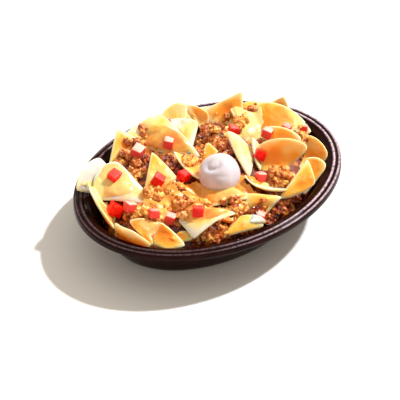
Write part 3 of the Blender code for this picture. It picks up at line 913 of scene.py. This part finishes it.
# %% Crumbs on the sauce
TOP_CRUMB_SPOTS = [    # place in the plan, reach, count, how golden
    (-46, 36, 6, 30, 1.0), (-58, 2, 6, 26, 1.2), (-73, -12, 7, 34, 1.1), (-47, -24, 7, 36, 1.0),
    (-15, -52, 7, 36, 1.0), (-46, -69, 6, 26, 0.9), (-51, 35, 6, 30, 1.0), (-46, 53, 6, 24, 0.9),
    (-14, 8, 5, 24, 1.2), (23, 19, 8, 36, 0.8), (53, 21, 5, 20, 1.4), (33, -47, 8, 50, 1.0),
    (81, -22, 6, 24, 0.8), (-38, -36, 5, 16, 1.1), (86, -16, 6, 26, 1.2), (88, -22, 5, 16, 1.3),
    (73, 31, 5, 14, 0.5), (27, 17, 6, 24, 0.9), (-16, 61, 4, 8, 0.4), (-24, 56, 4, 8, 0.8),
    (-77, -5, 6, 32, 1.3), (-55, -1, 5, 20, 1.3), (-58, -33, 4, 12, 1.1),
]
TOP_CRUMB_SEED = 5


def add_top_crumbs(trees):
    shape = join_shapes(scatter_crumbs(trees, TOP_CRUMB_SPOTS, random.Random(TOP_CRUMB_SEED)))
    add_piece("beef_on_top", shape, beef_paint("beef_on_top", 0.0), "beef", smooth=False)


add_top_crumbs([core_tree, chip_tree, crumb_tree, sauce_tree])

# %% [markdown]
# ## The tomato dice
# The dice are knife-cut: nearly cubes, a little longer one way, with edges that soften as the tomato weeps.
# The flesh is red. The faces that look up and a little to the front are painted pale pink, a painted
# highlight of the light that the wet flesh reflects, and the sides of a shiny die get a little of it too.
# Each die stands for its imported node, so its middle comes from the frame, and its turns repeat those of
# the imported die. Copies of one die would look machined, so each is a cube of its own, with its edges
# bevelled in two segments and its faces moved a little by noise. How much painted highlight a face gets
# depends on the direction that it faces in, so that is worked out once, here, and kept as an attribute for
# the material.

# %% Tomato dice
# Size against a typical die, turn about the vertical, lean about X and lean about Y in degrees, and how
# strong the pale painted highlight on its top is.
DICE = [
    (1.05, 12, 12, -8, 0.1), (1.10, 35, 30, 10, 0.1), (1.25, 55, 35, 20, 0.0), (1.10, 22, 10, -6, 0.9),
    (0.95, 40, 8, 5, 0.8), (0.85, 15, -18, 10, 0.7), (1.05, 49, 3, 25, 0.1), (0.95, 30, 10, 10, 0.8),
    (0.95, 60, 12, 8, 0.2), (1.00, 25, 10, 12, 0.8), (1.00, 50, 30, 22, 0.0), (0.85, 20, 15, 8, 0.5),
    (0.75, 48, 5, 15, 0.6), (0.90, 70, 12, 18, 0.9), (1.00, 10, 12, 12, 0.0), (0.80, 35, 10, 5, 0.7),
    (1.00, 80, 22, 12, 0.8), (0.90, 65, 8, 24, 0.7),
]
DIE_SIZE = 8.0 * MM
DIE_LONG = 1.08                 # a die's length and height against its size
DIE_LOW = 0.9
DIE_BEVEL = 0.09
DIE_UNEVEN = (220, 0.8)         # how close together the dents are, and their depth in mm
DIE_LIFT = 3.0 * MM             # the most that a die is raised to clear what lies under it
DIE_SETTLE = 0.32               # how far a raised die's middle is over what lies there, by its size
DIE_SEED_STEP = 3.7
# Faces that look this way get a painted highlight: pale pink for the light that the wet flesh reflects.
HIGHLIGHT_SIDE = Vector((0.10, -0.25, 0.96))      # the direction that the wet faces look in
HIGHLIGHT_FROM = 0.65                 # a face looks that way when its normal agrees by more than this
HIGHLIGHT_SHARPNESS = 4
HIGHLIGHT_EVERYWHERE = 0.16           # the share of the paleness that the sides get too


def tomato_paint():
    paint = Paint("tomato_flesh", Roughness=0.3, IOR=1.3, Subsurface_Weight=0.35,
                  Subsurface_Radius=(0.003, 0.0006, 0.0004), Subsurface_Scale=1.0)
    flesh = paint.ramp(paint.noise(5, 3), (0.35, tone(222, 8, 2)), (0.60, tone(238, 20, 4)),
                       (0.80, tone(244, 84, 40)))
    # Faces that look towards the light are mixed to pale pink: a painted highlight.
    paint.colour(paint.mix(paint.attribute("die_highlight"), flesh, tone(252, 192, 176)))
    paint.bump(paint.noise(2.2, 3), 0.3)
    return paint.material


def die_middle(name, edge, trees):
    """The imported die's middle, raised a little where a chip or a crumb lies under it."""
    low, high = (Vector(corner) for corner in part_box(name))
    middle = (low + high) / 2
    under = drop(trees, middle.x, middle.y)
    if under is not None:
        middle.z += min(DIE_LIFT, max(0.0, under + DIE_SETTLE * edge - middle.z))
    return middle


def make_die(name, size, turn, lean_x, lean_y, highlight, material, seed):
    shape = bmesh.new()
    edge = DIE_SIZE * size
    bmesh.ops.create_cube(shape, size=1)
    bmesh.ops.scale(shape, vec=(edge * DIE_LONG, edge, edge * DIE_LOW), verts=shape.verts[:])
    bmesh.ops.bevel(shape, geom=shape.edges[:], offset=edge * DIE_BEVEL, affect="EDGES", segments=2,
                    profile=0.5, material=-1)
    bmesh.ops.subdivide_edges(shape, edges=shape.edges[:], cuts=2, use_grid_fill=True)
    pitch, depth = DIE_UNEVEN
    for vertex in shape.verts:
        dent = noise.noise(vertex.co * pitch + Vector((seed, 0, 0)))
        vertex.co += dent * vertex.co.normalized() * depth * MM
    middle = die_middle(name, edge, [chip_tree, crumb_tree])
    turns = [Matrix.Rotation(math.radians(angle), 4, axis)
             for angle, axis in ((turn, "Z"), (lean_x, "X"), (lean_y, "Y"))]
    bmesh.ops.transform(shape, matrix=Matrix.Translation(middle) @ turns[0] @ turns[1] @ turns[2],
                        verts=shape.verts[:])
    shape.normal_update()
    # Each point's share of the painted highlight, by the way that it faces.
    die_highlight_layer = shape.verts.layers.float.new("die_highlight")
    for vertex in shape.verts:
        agrees = HIGHLIGHT_SHARPNESS * (vertex.normal.dot(HIGHLIGHT_SIDE) - HIGHLIGHT_FROM)
        vertex[die_highlight_layer] = highlight * (HIGHLIGHT_EVERYWHERE + (1 - HIGHLIGHT_EVERYWHERE) * min(1.0, max(0.0, agrees)))
    add_piece(name + "_cut", shape, material, "tomato", name)


def make_dice():
    material = tomato_paint()
    for number, (size, turn, lean_x, lean_y, highlight) in enumerate(DICE, start=1):
        seed = number * DIE_SEED_STEP
        make_die(f"tomato_{number:02d}", size, turn, lean_x, lean_y, highlight, material, seed)


make_dice()

# %% [markdown]
# ## The sour cream
# The cream came from a scoop: almost a ball, with a dimple near its top where the scoop let go. A
# groove curls half way round the dimple, with a soft lip outside it, and a faint crease runs below.
# Sculpting could make these, but each is a smooth rise or fall over one place, so a finely divided ball
# is pushed in and out by how far each point is from the dimple and from the crease.

# %% Sour cream
DENT_AT = Vector((-0.49, -0.08, 0.87))         # the dimple's middle, on a ball of radius 1
DENT_LONG = Vector((0.75, -0.66, 0.0))         # the way that the dimple and the crease are longest
DENT_LOW = Vector((-0.75, -0.30, -0.50))       # the side on which the groove is deepest
CREASE_AT = Vector((-0.50, -0.72, 0.48))
DENT_REACH = (0.34, 0.27)                      # half length and half width, on the same ball
CREASE_REACH = (0.26, 0.07)
GROOVE_AT = 0.9                                # where the groove and the lip run, in dimple reaches
GROOVE_WIDTH = 0.36
LIP_AT = 1.8
LIP_WIDTH = 0.40
DENT_DEPTH = 0.05                              # depths and heights, as shares of the radius
GROOVE_DEPTH = 0.13
LIP_HEIGHT = 0.035
CREASE_DEPTH = 0.035
UNEVEN_HEIGHT = 0.025
UNEVEN_PITCH = 1.6
CREAM_SWELL = 1.01                             # the lip stands out past the ball by this much
CREAM_LIFT = 3.5 * MM                          # how far the ball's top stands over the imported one


def cream_paint():
    paint = Paint("sour_cream", Roughness=0.32, IOR=1.4, Subsurface_Weight=0.5, Coat_Weight=0.2,
                  Subsurface_Radius=(0.008, 0.0035, 0.0022), Subsurface_Scale=1.0)
    paint.colour(paint.ramp(paint.noise(10, 2), (0.3, tone(192, 184, 190)), (0.7, tone(208, 201, 208))))
    paint.bump(paint.noise(3, 3), 0.15)
    return paint.material


def stretched(place, middle, long, wide):
    """How far a place on the ball is from a middle, counted in a reach that differs by direction."""
    away = place - middle
    along = away.dot(DENT_LONG) / long
    across = away.dot(DENT_LONG.cross(middle)) / wide
    depth = away.dot(middle) / wide
    return math.sqrt(along**2 + across**2 + depth**2)


def ridge(away, width=1.0):
    """1 where a point is not away from a line or place at all, and smoothly down to 0 past the width."""
    return math.exp(-((away / width) ** 2))


def make_cream():
    low, high = (Vector(corner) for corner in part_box("sour_cream"))
    radius = (high.x - low.x) / 2 / CREAM_SWELL
    middle = Vector(((low.x + high.x) / 2, (low.y + high.y) / 2, high.z + CREAM_LIFT - radius))
    shape = bmesh.new()
    bmesh.ops.create_uvsphere(shape, u_segments=72, v_segments=48, radius=1)
    for vertex in shape.verts:
        uneven = UNEVEN_HEIGHT * noise.noise(vertex.co * UNEVEN_PITCH)
        dent = stretched(vertex.co, DENT_AT, *DENT_REACH)
        crease = stretched(vertex.co, CREASE_AT, *CREASE_REACH)
        below = 0.5 + 0.5 * (vertex.co - DENT_AT).normalized().dot(DENT_LOW)
        groove = ridge(dent - GROOVE_AT, GROOVE_WIDTH) * below
        lip = ridge(dent - LIP_AT, LIP_WIDTH) * below
        vertex.co *= radius * (1 - DENT_DEPTH * ridge(dent) - GROOVE_DEPTH * groove + LIP_HEIGHT * lip
                               - CREASE_DEPTH * ridge(crease) + uneven)
    bmesh.ops.translate(shape, vec=middle, verts=shape.verts[:])
    add_piece("sour_cream_ball", shape, cream_paint(), "cream", "sour_cream")


make_cream()
